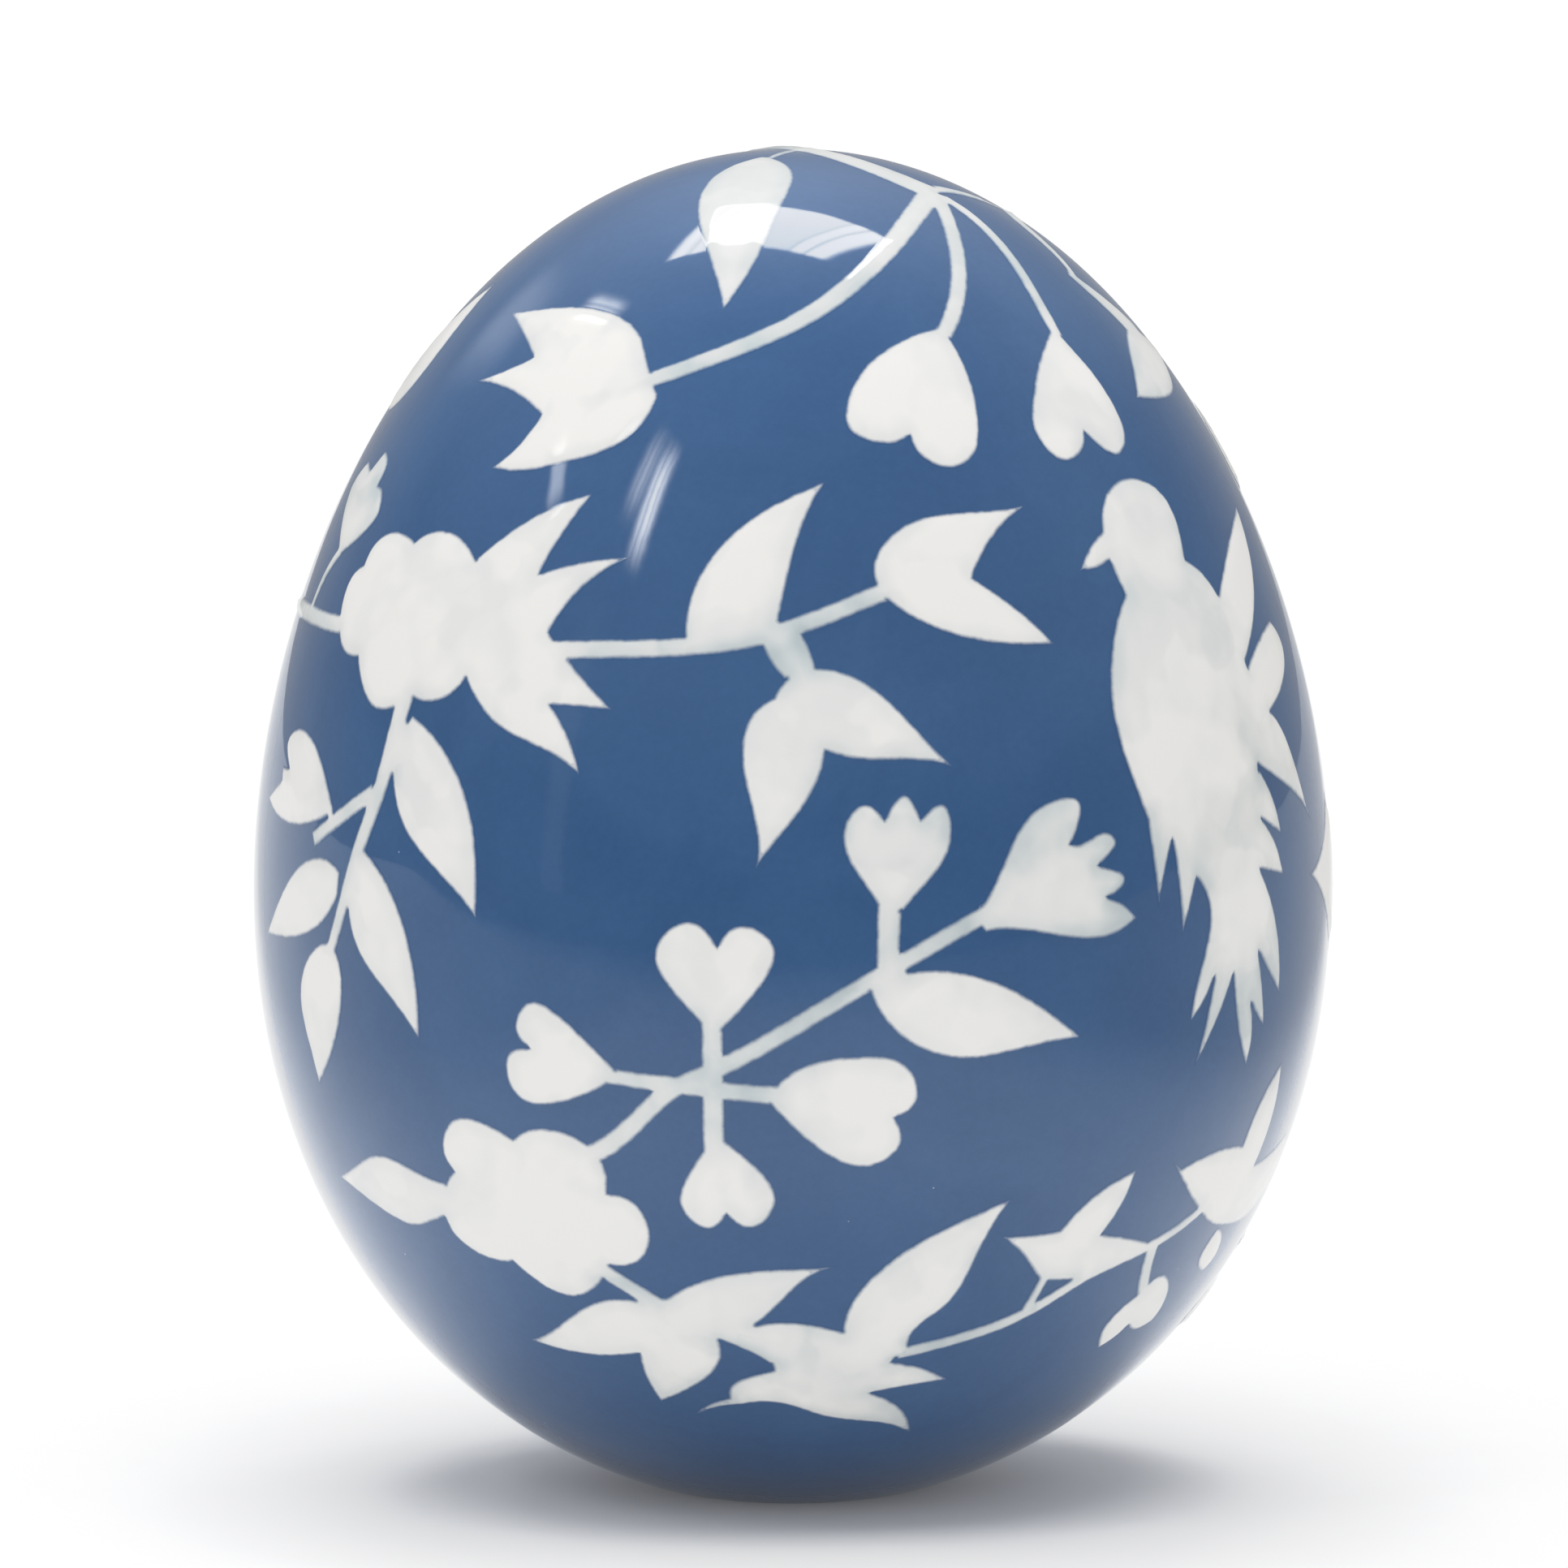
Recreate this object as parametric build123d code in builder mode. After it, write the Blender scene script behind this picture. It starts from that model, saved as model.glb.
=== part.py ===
from build123d import *
from math import acos, cos, hypot, radians, sin
import os

# A decorated porcelain egg that stands on the ground flat at its wide end. The body is one hollow
# slip-cast shell. Birds, blossoms, hearts and leaves stand on it in thick white slip, each motif a
# thin raised skin. Millimetres, origin at the centre of the foot, +Z up. The front faces -Y.

# Driving dimensions
HEIGHT = 150.0  # foot to crown
UNDERCUT = 2.0  # how far the egg's curve would run below the foot if it weren't ground flat
GIRTH = (60.0, -5.4, 0.85, 2.0)  # the egg's curve: an ellipse whose radius changes from crown to foot
WALL = 4.0  # thickness of the cast shell
VENT_RADIUS = 2.5  # hole in the foot that lets air out in the kiln
RELIEF = 0.4  # height of the slip above the body
REACH = 24.0  # how deep a motif's outline is carried inward to meet the curved surface
STEM = 2.3  # usual width of a brush stroke

HALF_HEIGHT = (HEIGHT + UNDERCUT) / 2
MIDDLE = HEIGHT - HALF_HEIGHT
FOOT_ANGLE = acos(-MIDDLE / HALF_HEIGHT)


def egg_frame(angle):
    """Radius, height and outward normal of the egg's curve, at an angle counted from the crown."""
    along = cos(angle)
    girth = sum(factor * along**power for power, factor in enumerate(GIRTH))
    slope = sum(power * factor * along ** (power - 1) for power, factor in enumerate(GIRTH) if power)
    radius = sin(angle) * girth
    height = MIDDLE + HALF_HEIGHT * along
    run = cos(angle) * girth - sin(angle) ** 2 * slope
    rise = -HALF_HEIGHT * sin(angle)
    length = hypot(run, rise)
    return radius, height, -rise / length, run / length


def egg_curve(lift, steps=24):
    """Points down the egg's outline from crown to foot, standing off the outer surface by lift."""
    points = []
    for step in range(steps + 1):
        radius, height, out, up = egg_frame(FOOT_ANGLE * step / steps)
        points.append((radius + lift * out, height + lift * up))
    return points


def surface_plane(azimuth, height, turn=0):
    """A plane just off the egg, x to the right and y up as seen from outside, turned to the left."""
    radius, height, out, up = egg_frame(acos((height - MIDDLE) / HALF_HEIGHT))
    side, front = sin(radians(azimuth)), -cos(radians(azimuth))
    outward = Vector(out * side, out * front, up)
    right = Vector(-front, side, 0)
    across = right * cos(radians(turn)) + outward.cross(right) * sin(radians(turn))
    return Plane(Vector(radius * side, radius * front, height) + outward, across, outward)


def outline(*stretches):
    """Fill a closed outline. Each stretch is a smooth curve that ends where the next one starts."""
    starts = [stretch[0] for stretch in stretches]
    with BuildLine() as edge:
        for stretch, end in zip(stretches, starts[1:] + starts[:1]):
            if len(stretch) == 1:
                Line(stretch[0], end)
            else:
                Spline(*stretch, end)
    make_face(edge.edges())


def stroke(points, start_width=STEM, end_width=None):
    """Fill a brush stroke along a smooth line, tapering from one width to the other."""
    last = len(points) - 1
    taper = 0 if end_width is None else end_width - start_width
    left, right = [], []
    for index, (x, y) in enumerate(points):
        before = points[max(index - 1, 0)]
        after = points[min(index + 1, last)]
        run, rise = after[0] - before[0], after[1] - before[1]
        offset = (start_width + taper * index / last) / 2 / hypot(run, rise)
        left.append((x - rise * offset, y + run * offset))
        right.insert(0, (x + rise * offset, y - run * offset))
    outline(left[:-1], left[-1:], right[:-1], right[-1:])


def leaf(length, width, bend=0.0, start=0.0):
    """Fill a pointed leaf that grows along y, its tip bent to one side."""
    outline(
        [(0, start), (-width / 2, start + length * 0.35), (bend / 2 - width * 0.3, start + length * 0.75)],
        [(bend, start + length), (bend / 2 + width * 0.35, start + length * 0.7)]
        + [(width / 2, start + length * 0.3)],
    )


def heart(length, width, start=0.0):
    """Fill a heart that grows along y from its point."""
    outline(
        [(0, start), (-width * 0.42, start + length * 0.5), (-width / 2, start + length * 0.82)]
        + [(-width * 0.25, start + length)],
        [(0, start + length * 0.82), (width * 0.25, start + length), (width / 2, start + length * 0.8)]
        + [(width * 0.4, start + length * 0.45)],
    )


def blossom(radius, lobes=5):
    """Fill a round flower of equal lobes about the origin."""
    Circle(radius * 0.7)
    with PolarLocations(radius * 0.55, lobes, start_angle=90):
        Circle(radius * 0.45)


def tulip(length, width):
    """Fill a three-pointed flower that grows along y from the origin."""
    outline(
        [(0, 0), (-width * 0.38, length * 0.3), (-width * 0.4, length * 0.65)],
        [(-width / 2, length), (-width * 0.3, length * 0.8)],
        [(-width * 0.17, length * 0.6), (-width * 0.07, length * 0.8)],
        [(0, length * 1.05), (width * 0.08, length * 0.8)],
        [(width * 0.18, length * 0.6), (width * 0.3, length * 0.8)],
        [(width / 2, length * 0.95), (width * 0.42, length * 0.6), (width * 0.36, length * 0.28)],
    )


def raise_slip(*neighbours):
    """Turn the sketches into slip on the egg, cut back where a neighbour's slip already lies."""
    extrude(amount=-REACH)
    add(relief_band.part, mode=Mode.INTERSECT)
    for neighbour in neighbours:
        add(neighbour.part, mode=Mode.SUBTRACT)


# The body: a closed shell of even thickness with a flat foot and its vent hole
with BuildPart() as egg_body:
    with BuildSketch(Plane.YZ):
        with BuildLine():
            Spline(*egg_curve(0))
            Line(egg_curve(0)[-1], (0, 0))
            Line((0, 0), (0, HEIGHT))
        make_face()
    revolve(axis=Axis.Z)
    with BuildSketch(Plane.YZ):
        with BuildLine():
            Spline(*egg_curve(-WALL))
            Line(egg_curve(-WALL)[-1], (0, WALL))
            Line((0, WALL), (0, HEIGHT - WALL))
        make_face()
    revolve(axis=Axis.Z, mode=Mode.SUBTRACT)
    Cylinder(VENT_RADIUS, 3 * WALL, mode=Mode.SUBTRACT)

# The thin band over the whole surface that every motif is cut from
with BuildPart() as relief_band:
    with BuildSketch(Plane.YZ):
        with BuildLine():
            inside = Spline(*egg_curve(0))
            outside = Spline(*egg_curve(RELIEF))
            Line(inside @ 0, outside @ 0)
            Line(inside @ 1, outside @ 1)
        make_face()
    revolve(axis=Axis.Z)

# Crown: a petal, a tulip and two hearts that hang from a branch over the top
with BuildPart() as crown_petal:
    with BuildSketch(surface_plane(-10, 140)):
        outline(
            [(-1.5, -9), (-3.5, -2.5), (-7, 9), (-6.5, 17)],
            [(-2, 23), (2.5, 17), (2.5, 8), (1, -2.5)],
        )
    raise_slip()

with BuildPart() as crown_tulip:
    with BuildSketch(surface_plane(-35, 125)):
        outline(
            [(-14.5, 12), (-10.5, 8.5)],
            [(-7, 5), (-10.5, 3.5)],
            [(-15, 2.5), (-8, 0.5)],
            [(-2.5, -2.5), (-4, -6)],
            [(-7, -9), (-4, -9.5), (3.5, -8), (9.5, -4.5), (11, -1)],
            [(11, 1.5), (8.5, 5), (5.5, 9), (0, 11.5), (-8, 12)],
        )
    raise_slip()

with BuildPart() as crown_heart:
    with BuildSketch(surface_plane(20, 125)):
        outline(
            [(4, 9.5), (-5, 5.5), (-9, 0.5), (-9.5, -3), (-7, -5)],
            [(-3, -4.5), (-2.5, -6.5), (0.5, -8.5), (3.5, -7.5), (5.5, -2.5), (5.5, 4)],
        )
    raise_slip()

with BuildPart() as side_heart:
    with BuildSketch(surface_plane(45, 125)):
        outline(
            [(3, 9), (-2, 4.5), (-6, -0.5), (-7.5, -4.5), (-5.5, -8), (-2.5, -7.5)],
            [(-0.5, -5), (0.5, -6.5), (3, -8), (5.5, -6.5), (6.5, -3), (5.5, 2.5)],
        )
    raise_slip()

with BuildPart() as crown_branch:
    with BuildSketch(surface_plane(15, 140)):
        stroke([(-4, 37), (0.5, 28), (5.5, 20.5), (12.5, 14)], 2.4, 4.6)
        stroke([(12, 14.5), (5, 3), (-1, -4), (-8, -9), (-17, -11.5), (-25.5, -11.5)], 2.9, 2.3)
        stroke([(12.5, 14.5), (12, 5.5), (11, -2), (7, -12)], 2.2)
        stroke([(13, 14), (17, 8), (19.2, 1.5), (21.6, -8)], 1.9, 1.8)
        stroke([(13, 16), (17, 17.5), (24, 18.5)], 2.2, 1)
        stroke([(-5.5, 22), (-2.5, 25), (1.5, 28)], 0.9, 1.4)
    raise_slip(crown_petal, crown_tulip, crown_heart, side_heart)

# Shoulders: leaves and twigs that the eye meets edge-on from the front
with BuildPart() as shoulder_twig:
    with BuildSketch(surface_plane(75, 125)):
        stroke([(5, 26), (1.4, 21.5), (0.3, 18.5), (-2, 15)], 2.5, 1.5)
        stroke([(-2.6, 16), (-1.2, 13.2), (0.4, 10.4), (2.6, 6)], 1.5, 5)
        outline(
            [(3, 7.5), (-3, 6.1), (-7.6, 2.6)],
            [(-11.2, -0.6), (-5, -1.9), (3, -0.5), (7, 3.5)],
        )
    raise_slip(crown_branch)

with BuildPart() as shoulder_sprig:
    with BuildSketch(surface_plane(88, 112, turn=-35)):
        leaf(20, 7, bend=2)
    raise_slip()

with BuildPart() as shoulder_leaf:
    with BuildSketch(surface_plane(-84, 121, turn=-18)):
        leaf(19, 8, bend=-2)
    raise_slip()

# Left: the rose with its tulip, and the long stem with three leaves
with BuildPart() as rose:
    with BuildSketch(surface_plane(-50, 100)):
        outline(
            [(-11.5, 6.5), (-14, 4.5), (-14, 1), (-11.5, -3)],
            [(-7.5, -4), (-5.5, -7), (-2, -9.5), (1.5, -9)],
            [(3.5, -7.5), (7, -8), (10, -6.5)],
            [(11.5, -4), (12, -0.5)],
            [(10.5, 2.5), (10.5, 5.5)],
            [(8, 8.5), (5, 10.5), (0.5, 11)],
            [(-2.5, 9.5), (-6, 10.5), (-10, 9.5)],
        )
    raise_slip()

with BuildPart() as rose_tulip:
    with BuildSketch(surface_plane(-30, 100)):
        outline(
            [(-10.5, 8), (-7, 11), (-2.5, 14)],
            [(3.5, 16.5), (1, 12)],
            [(-1, 7), (3.5, 8.5)],
            [(9.5, 9.5), (4.5, 5.5)],
            [(1.5, 0.5), (4.5, -2.5)],
            [(10.5, -7.5), (6.5, -7.5)],
            [(3, -7.5), (5.5, -10.5)],
            [(7.5, -15), (3, -12.5), (-3.5, -10), (-7, -7)],
            [(-9, -4)],
        )
    raise_slip(rose)

with BuildPart() as rose_leaf:
    with BuildSketch(surface_plane(0, 105)):
        outline(
            [(-11.5, -5.4), (-11.4, -1.5), (-8.5, 4.8), (-2.7, 9.8)],
            [(3.7, 13), (1.1, 7.5), (-0.6, 1)],
            [(-1.5, -3.6)],
        )
    raise_slip()

with BuildPart() as swallow_leaf:
    with BuildSketch(surface_plane(20, 105)):
        outline(
            [(-8.5, -0.5), (-9.5, 3.5), (-6, 7.5), (0, 9)],
            [(9.5, 10), (4.5, 6)],
            [(1.5, 1.5), (5, -1)],
            [(10.5, -6), (4.5, -6), (-2.5, -4.5)],
        )
    raise_slip()

with BuildPart() as double_leaf:
    with BuildSketch(surface_plane(5, 90)):
        outline(
            [(-7, 4.5), (-3.5, 7.5), (1, 7), (7, 2.5)],
            [(13, -3.5), (8.5, -2.5), (3, -2.5)],
            [(-1.5, -1.5), (-2.5, -5), (-6, -10)],
            [(-9.5, -14.5), (-9, -11), (-10.5, -3), (-10, 1.5)],
        )
    raise_slip()

with BuildPart() as rose_stem:
    with BuildSketch(surface_plane(-5, 100)):
        stroke([(-23, 0), (-14, -0.5), (-7, -0.5), (1, 0.5), (8, 3), (16, 7)], STEM)
        outline(
            [(1, 1.5), (2, -1.5)],
            [(4, -4)],
            [(7.5, -3), (6.5, 0)],
            [(5, 2)],
        )
    raise_slip(rose_tulip, rose_leaf, swallow_leaf, double_leaf)

# Left edge: the bud above the rose, and the stem that trails below it
with BuildPart() as rose_bud:
    with BuildSketch(surface_plane(-70, 110)):
        outline(
            [(-1, 8.5), (2, 6.5)],
            [(2, 4.5), (4.5, 3.5), (5.5, 1.5), (3.5, -1.5)],
            [(-1.5, -4.5), (-5, -1), (-8, 4)],
            [(-5.5, 7)],
            [(-3, 6)],
        )
    raise_slip()

with BuildPart() as rose_twig:
    with BuildSketch(surface_plane(-70, 110)):
        stroke([(-24, -9.5), (-13, -10.5), (-1, -11.5), (7, -11.5)], STEM)
        stroke([(-1, -3.5), (-4, -7), (-5, -11)], 1.9, 1.4)
    raise_slip(rose, rose_bud)

with BuildPart() as trail_leaf_upper:
    with BuildSketch(surface_plane(-40, 80)):
        outline(
            [(-5.6, 11), (-7.6, 4.5), (-5.6, -0.5), (0, -5.5)],
            [(6, -10.5), (6, -6), (4.1, 2), (0, 7.5)],
        )
    raise_slip()

with BuildPart() as trail_leaf_lower:
    with BuildSketch(surface_plane(-45, 65)):
        outline(
            [(-6.3, 11), (-8.8, 6), (-8, 1.5), (-3.2, -3.8)],
            [(2.5, -9.5), (2.8, -4), (0.6, 4)],
        )
    raise_slip()

with BuildPart() as trail_leaf_end:
    with BuildSketch(surface_plane(-60, 55)):
        outline(
            [(3.6, 10.2), (-2.6, 7.2), (-4.5, 3.8), (-3.8, -1.8)],
            [(-2.9, -6.5), (2.6, -1.4), (5.2, 3.5), (5.5, 7.5)],
        )
    raise_slip()

with BuildPart() as trail_leaf_side:
    with BuildSketch(surface_plane(-65, 70)):
        outline(
            [(10.6, 3), (8.7, 4), (3, 3.6), (-2.3, 0.5)],
            [(-10.2, -6), (1.5, -5.1), (7.3, -2.8)],
            [(10.4, 0.4)],
        )
    raise_slip()

with BuildPart() as trail_bud:
    with BuildSketch(surface_plane(-70, 80)):
        outline(
            [(1, 7.5), (-1.5, 6)],
            [(0.5, 3)],
            [(-2, 3)],
            [(-1.5, 1.5)],
            [(-6.5, -1), (1, -3), (8, -2.5)],
            [(13.5, -0.5), (9.5, 4.5), (4, 7.5)],
        )
    raise_slip()

with BuildPart() as trail_stem:
    with BuildSketch(surface_plane(-50, 80)):
        stroke([(3, 14.5), (2.2, 9), (0.8, 2.3), (-2, -4.5), (-4.2, -10), (-7.2, -16)], 3, 1.9)
        stroke([(0, 2.2), (-4.5, -0.3), (-11.5, -4)], 2.2, 2)
    raise_slip(rose, trail_leaf_upper, trail_leaf_lower, trail_leaf_end, trail_leaf_side, trail_bud)

# Right: a bird with a long feathered tail, seen from above, and a star behind it
with BuildPart() as bird_body:
    with BuildSketch(surface_plane(50, 80)):
        outline(
            [(-12.6, 27.6), (-10.6, 29.8)],
            [(-7.8, 31.6), (-6, 34.9), (-0.5, 37.2), (4.7, 34.5), (4.9, 29.5)],
            [(4.4, 27.6), (7.4, 25.6), (10.7, 18.5)],
            [(13.5, 10.5), (10.5, 6)],
            [(10, 2), (0, 0.5)],
            [(-10, -1), (-12, 5), (-13, 12), (-11, 19.5)],
            [(-7.5, 24.5), (-7.9, 26.5)],
            [(-8.2, 28.3), (-10.6, 27.6)],
        )
    raise_slip()

with BuildPart() as bird_tail:
    with BuildSketch(surface_plane(50, 80)):
        outline(
            [(-10.5, 1), (-10, -5)],
            [(-9.5, -9.5), (-8, -5)],
            [(-7, -2.5), (-6.5, -7)],
            [(-6, -13), (-4.5, -9.5)],
            [(-3.5, -7), (-1.5, -11), (-3, -17)],
            [(-4, -22.5), (-2, -20.5)],
            [(-0.5, -18), (-1.5, -23)],
            [(-2.5, -27.5), (0.5, -23)],
            [(3, -18), (4.5, -23.5)],
            [(7.5, -28.5), (8, -25)],
            [(7, -21.5), (8.5, -23)],
            [(10.5, -24.5), (9.5, -20.5)],
            [(8, -16), (10.5, -18.5)],
            [(13.5, -21), (12.5, -14.5)],
            [(8.5, -7), (11, -7.5)],
            [(14, -8), (12.5, -4.5)],
            [(9.5, -1.5), (11.5, -2.5)],
            [(14, -3.5), (12.5, 1), (10, 4)],
        )
    raise_slip(bird_body)

with BuildPart() as bird_feather_high:
    with BuildSketch(surface_plane(50, 80)):
        outline(
            [(7, 21), (14.5, 28.4)],
            [(22.5, 33), (20, 25.3), (14.5, 18.6)],
            [(8.5, 13.5)],
        )
    raise_slip(bird_body)

with BuildPart() as bird_feather_middle:
    with BuildSketch(surface_plane(50, 80)):
        outline(
            [(9.5, 13.5), (15, 17.5)],
            [(21, 20), (23.5, 16.5), (20, 12.5)],
            [(12.5, 9)],
        )
    raise_slip(bird_body, bird_feather_high)

with BuildPart() as bird_feather_low:
    with BuildSketch(surface_plane(50, 80)):
        outline(
            [(12, 10.5), (16, 9.5), (19.5, 5)],
            [(23.5, -2.5), (18, 1), (12, 3.5)],
            [(9, 5)],
        )
    raise_slip(bird_body, bird_tail, bird_feather_middle)

with BuildPart() as edge_star:
    with BuildSketch(surface_plane(84, 70)):
        outline(
            [(-13, 1), (-6.5, 3.5)],
            [(0, 9), (2.5, 3.5)],
            [(9, 1.5), (3, -2.5)],
            [(0, -9), (-5.5, -3.5)],
        )
    raise_slip()

# Middle: four hearts about a crossing, with two tulips and a leaf on the long stroke
with BuildPart() as heart_up:
    with BuildSketch(surface_plane(-10, 65)):
        outline(
            [(2, -7.2), (-2.8, -1.8), (-4.4, 2.2), (-2, 5.2)],
            [(2.5, 2.9), (6, 5.1), (8.6, 3), (7.2, -1.5)],
        )
    raise_slip()

with BuildPart() as heart_down:
    with BuildSketch(surface_plane(-10, 40)):
        outline(
            [(1.7, 7.8), (-1.4, 3), (-2.4, -1.2), (-0.2, -3.6)],
            [(2.6, -1.9), (5.7, -3.5), (8, -0.5), (5.9, 4.2)],
        )
    raise_slip()

with BuildPart() as heart_left:
    with BuildSketch(surface_plane(-25, 55)):
        outline(
            [(7.5, -1.5), (1, 4.5), (-3.5, 6), (-5, 4)],
            [(-3.5, 1), (-6.5, -0.5), (-5.5, -4.5), (0, -5), (4, -3.5)],
        )
    raise_slip()

with BuildPart() as heart_right:
    with BuildSketch(surface_plane(5, 50)):
        outline(
            [(-8, 1.1), (-4.2, 5), (2, 6.1), (7, 5), (8.5, 1.5)],
            [(6, -1), (6.5, -4.5), (3.8, -6.5), (-2.5, -4.3)],
        )
    raise_slip()

with BuildPart() as tulip_up:
    with BuildSketch(surface_plane(10, 80)):
        outline(
            [(-1.1, -8.5), (-3.5, -4.7), (-5, 0.5), (-3, 3)],
            [(-0.5, 1.4), (1.8, 4)],
            [(3.5, 1.4), (6.3, 2.8), (6.9, -1), (3.9, -5.8)],
            [(1.5, -8.5)],
        )
    raise_slip()

with BuildPart() as tulip_right:
    with BuildSketch(surface_plane(30, 75)):
        outline(
            [(-12, -4.5), (-8, 2), (-3, 7.5), (1.5, 7.5), (1, 4.5)],
            [(0, 3), (2.5, 3.5), (5, 4), (6, 3), (5, 1.5)],
            [(3.5, 0.5), (5.5, 0), (7, -1), (6, -2.5)],
            [(4.5, -3), (6, -3.5)],
            [(8.5, -5.5), (3, -7.5), (-4, -6.5)],
            [(-10.5, -6)],
        )
    raise_slip()

with BuildPart() as wheel_leaf:
    with BuildSketch(surface_plane(20, 60)):
        outline(
            [(-12.9, 3.5), (-9.6, -1.8), (-4.5, -4.4), (4, -4.1)],
            [(12, -3.3), (6.3, 1), (0.3, 4), (-7, 5.2)],
        )
    raise_slip()

# Foot: the lower blossom, and the garland that runs from it round the wide end
with BuildPart() as lower_blossom:
    with BuildSketch(surface_plane(-30, 40)):
        outline(
            [(-10.5, 1), (-11.5, 4), (-9, 7.5), (-5, 7.5)],
            [(-1.5, 6), (3.5, 7.5), (8, 5.5)],
            [(9, 0), (12.5, -2), (12.5, -6.5)],
            [(7, -9), (5, -12), (1, -13.5), (-3, -11.5)],
            [(-5, -9.5), (-9, -9.5), (-13, -6.5), (-12.5, -1.5)],
        )
    raise_slip()

with BuildPart() as lower_leaf:
    with BuildSketch(surface_plane(-55, 40)):
        outline(
            [(13.5, -0.8), (9, 0.2), (2.5, 2), (-2.5, 0.6)],
            [(-9.5, -2.4), (-1, -5.3), (4.5, -6.5), (9.5, -5.2)],
            [(12.5, -4.6)],
        )
    raise_slip(lower_blossom)

with BuildPart() as trefoil:
    with BuildSketch(surface_plane(-15, 20)):
        outline(
            [(-4, 9.5), (-1, 10)],
            [(0, 10.5), (5, 13), (11, 13.5)],
            [(18.5, 12.5), (12, 9), (7.5, 5.5)],
            [(4, 5.5), (4.5, 2), (2, -2)],
            [(-4, -6.5), (-5, -2.5)],
            [(-5, 1.5), (-11, 0)],
            [(-18.5, 0), (-14, 4), (-9, 8.5)],
        )
    raise_slip()

with BuildPart() as garland_leaf:
    with BuildSketch(surface_plane(15, 30)):
        outline(
            [(-6.5, -9), (-7.2, -4), (-2.4, 4), (3.2, 7.5)],
            [(10, 10), (7, 4.3), (3.8, -3.4), (0.7, -7)],
            [(0.7, -9.5)],
        )
    raise_slip()

with BuildPart() as garland_bird:
    with BuildSketch(surface_plane(5, 20)):
        outline(
            [(-10, 5), (-5, 7), (0.5, 6)],
            [(8.5, 2.5)],
            [(7, 0.5), (11, -1.5)],
            [(13.5, -4), (9, -4)],
            [(5, -4.5), (7.5, -6.5)],
            [(10, -13.5), (5, -10), (0, -8.5), (-4, -6.5)],
            [(-9, -7), (-11.5, -8)],
            [(-14, -10.5), (-12.5, -7.5)],
            [(-10.5, -6), (-10, -3), (-8, -1.5)],
            [(-6, -0.5)],
            [(-6.5, 1.5)],
        )
    raise_slip(garland_leaf, trefoil)

with BuildPart() as star_leaf:
    with BuildSketch(surface_plane(35, 30)):
        outline(
            [(-9.6, 5.2), (-5.7, 5.5)],
            [(-2.5, 5.8), (1, 9.8)],
            [(6.4, 12.2), (5.3, 7.8)],
            [(3.6, 4.7), (7.2, 3.8)],
            [(12, 2), (6, -0.3), (-0.5, -1)],
            [(-3.3, -0.6), (-5.8, 2.2)],
        )
    raise_slip()

with BuildPart() as garland_tulip:
    with BuildSketch(surface_plane(65, 40)):
        outline(
            [(-17.5, 1)],
            [(-15.5, 0), (-9.5, 2)],
            [(-4, 2), (-3, 6)],
            [(1.5, 11), (2.5, 5)],
            [(1.5, -1), (6, -0.5)],
            [(12, 1), (13, -4), (9.5, -7.5), (2, -8.5)],
            [(-3, -8), (-8, -6), (-12, -3.5)],
        )
    raise_slip()

with BuildPart() as hanging_leaves:
    with BuildSketch(surface_plane(50, 25)):
        outline(
            [(0.5, 1.5), (3.5, 3.5), (6.5, 1)],
            [(7, -4), (3.5, -4.5)],
            [(2, -3.5), (0.5, -5.5)],
            [(-1, -6.5), (-2.5, -4)],
        )
    with BuildSketch(surface_plane(65, 30)):
        outline(
            [(-2, 2.5), (1, 1), (2, -1.5)],
            [(0.5, -3.5), (-3, -1)],
        )
    raise_slip(garland_tulip)

with BuildPart() as garland_stem:
    with BuildSketch(surface_plane(-10, 20)):
        stroke([(-14.5, 13.9), (-8.6, 10.6), (-2.7, 7.1), (1.5, 5), (7, 0.5)], STEM)
    with BuildSketch(surface_plane(35, 30)):
        stroke([(-16.5, -11.5), (-11, -9), (-3, -5), (3, -1), (11.5, 1.5), (20, 4.5)], 2, 1.6)
        stroke([(-2.4, 0.5), (-3.4, -5)], 1.5)
        stroke([(12.5, 2), (12.8, -2), (14.6, -7)], 2)
    raise_slip(lower_blossom, trefoil, garland_bird, garland_leaf, star_leaf, hanging_leaves, garland_tulip)

with BuildPart() as wheel_stems:
    with BuildSketch(surface_plane(-5, 55)):
        stroke([(-3.4, 7), (-3.4, -11)], 2.6)
        stroke([(-16, -1.8), (-8.3, -2.4), (6, -3.6)], 2, 2.4)
        stroke([(-18, -11.5), (-12, -7), (-8.5, -3.5), (-3, -0.5), (7.4, 5.4), (28.5, 16.5)], 2.5, 2.2)
        stroke([(15.6, 18.5), (15.3, 7.5)], 2.9, 2.5)
    raise_slip(
        heart_up, heart_down, heart_left, heart_right, tulip_up, tulip_right, wheel_leaf, lower_blossom
    )

# Back: the branch from the rose goes on round the egg, past a blossom and its tulip
with BuildPart() as back_blossom:
    with BuildSketch(surface_plane(180, 88)):
        blossom(14)
    raise_slip()

with BuildPart() as back_tulip:
    with BuildSketch(surface_plane(170, 90, turn=78)):
        tulip(22, 24)
    raise_slip(back_blossom)

with BuildPart() as back_leaves:
    for azimuth, height, turn in [(248, 104, 35), (240, 101, 145), (222, 104, 30), (214, 99, 150)]:
        with BuildSketch(surface_plane(azimuth, height, turn)):
            leaf(20, 9, bend=2.5)
    raise_slip()

with BuildPart() as back_branch:
    with BuildSketch(surface_plane(235, 100)):
        stroke([(29, -1), (14, 3), (0, 3.5), (-14, 0), (-29, -6)])
    with BuildSketch(surface_plane(192, 90)):
        stroke([(14, 4), (6, 1), (-4, 0)])
    raise_slip(back_blossom, back_leaves, rose_twig)

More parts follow.
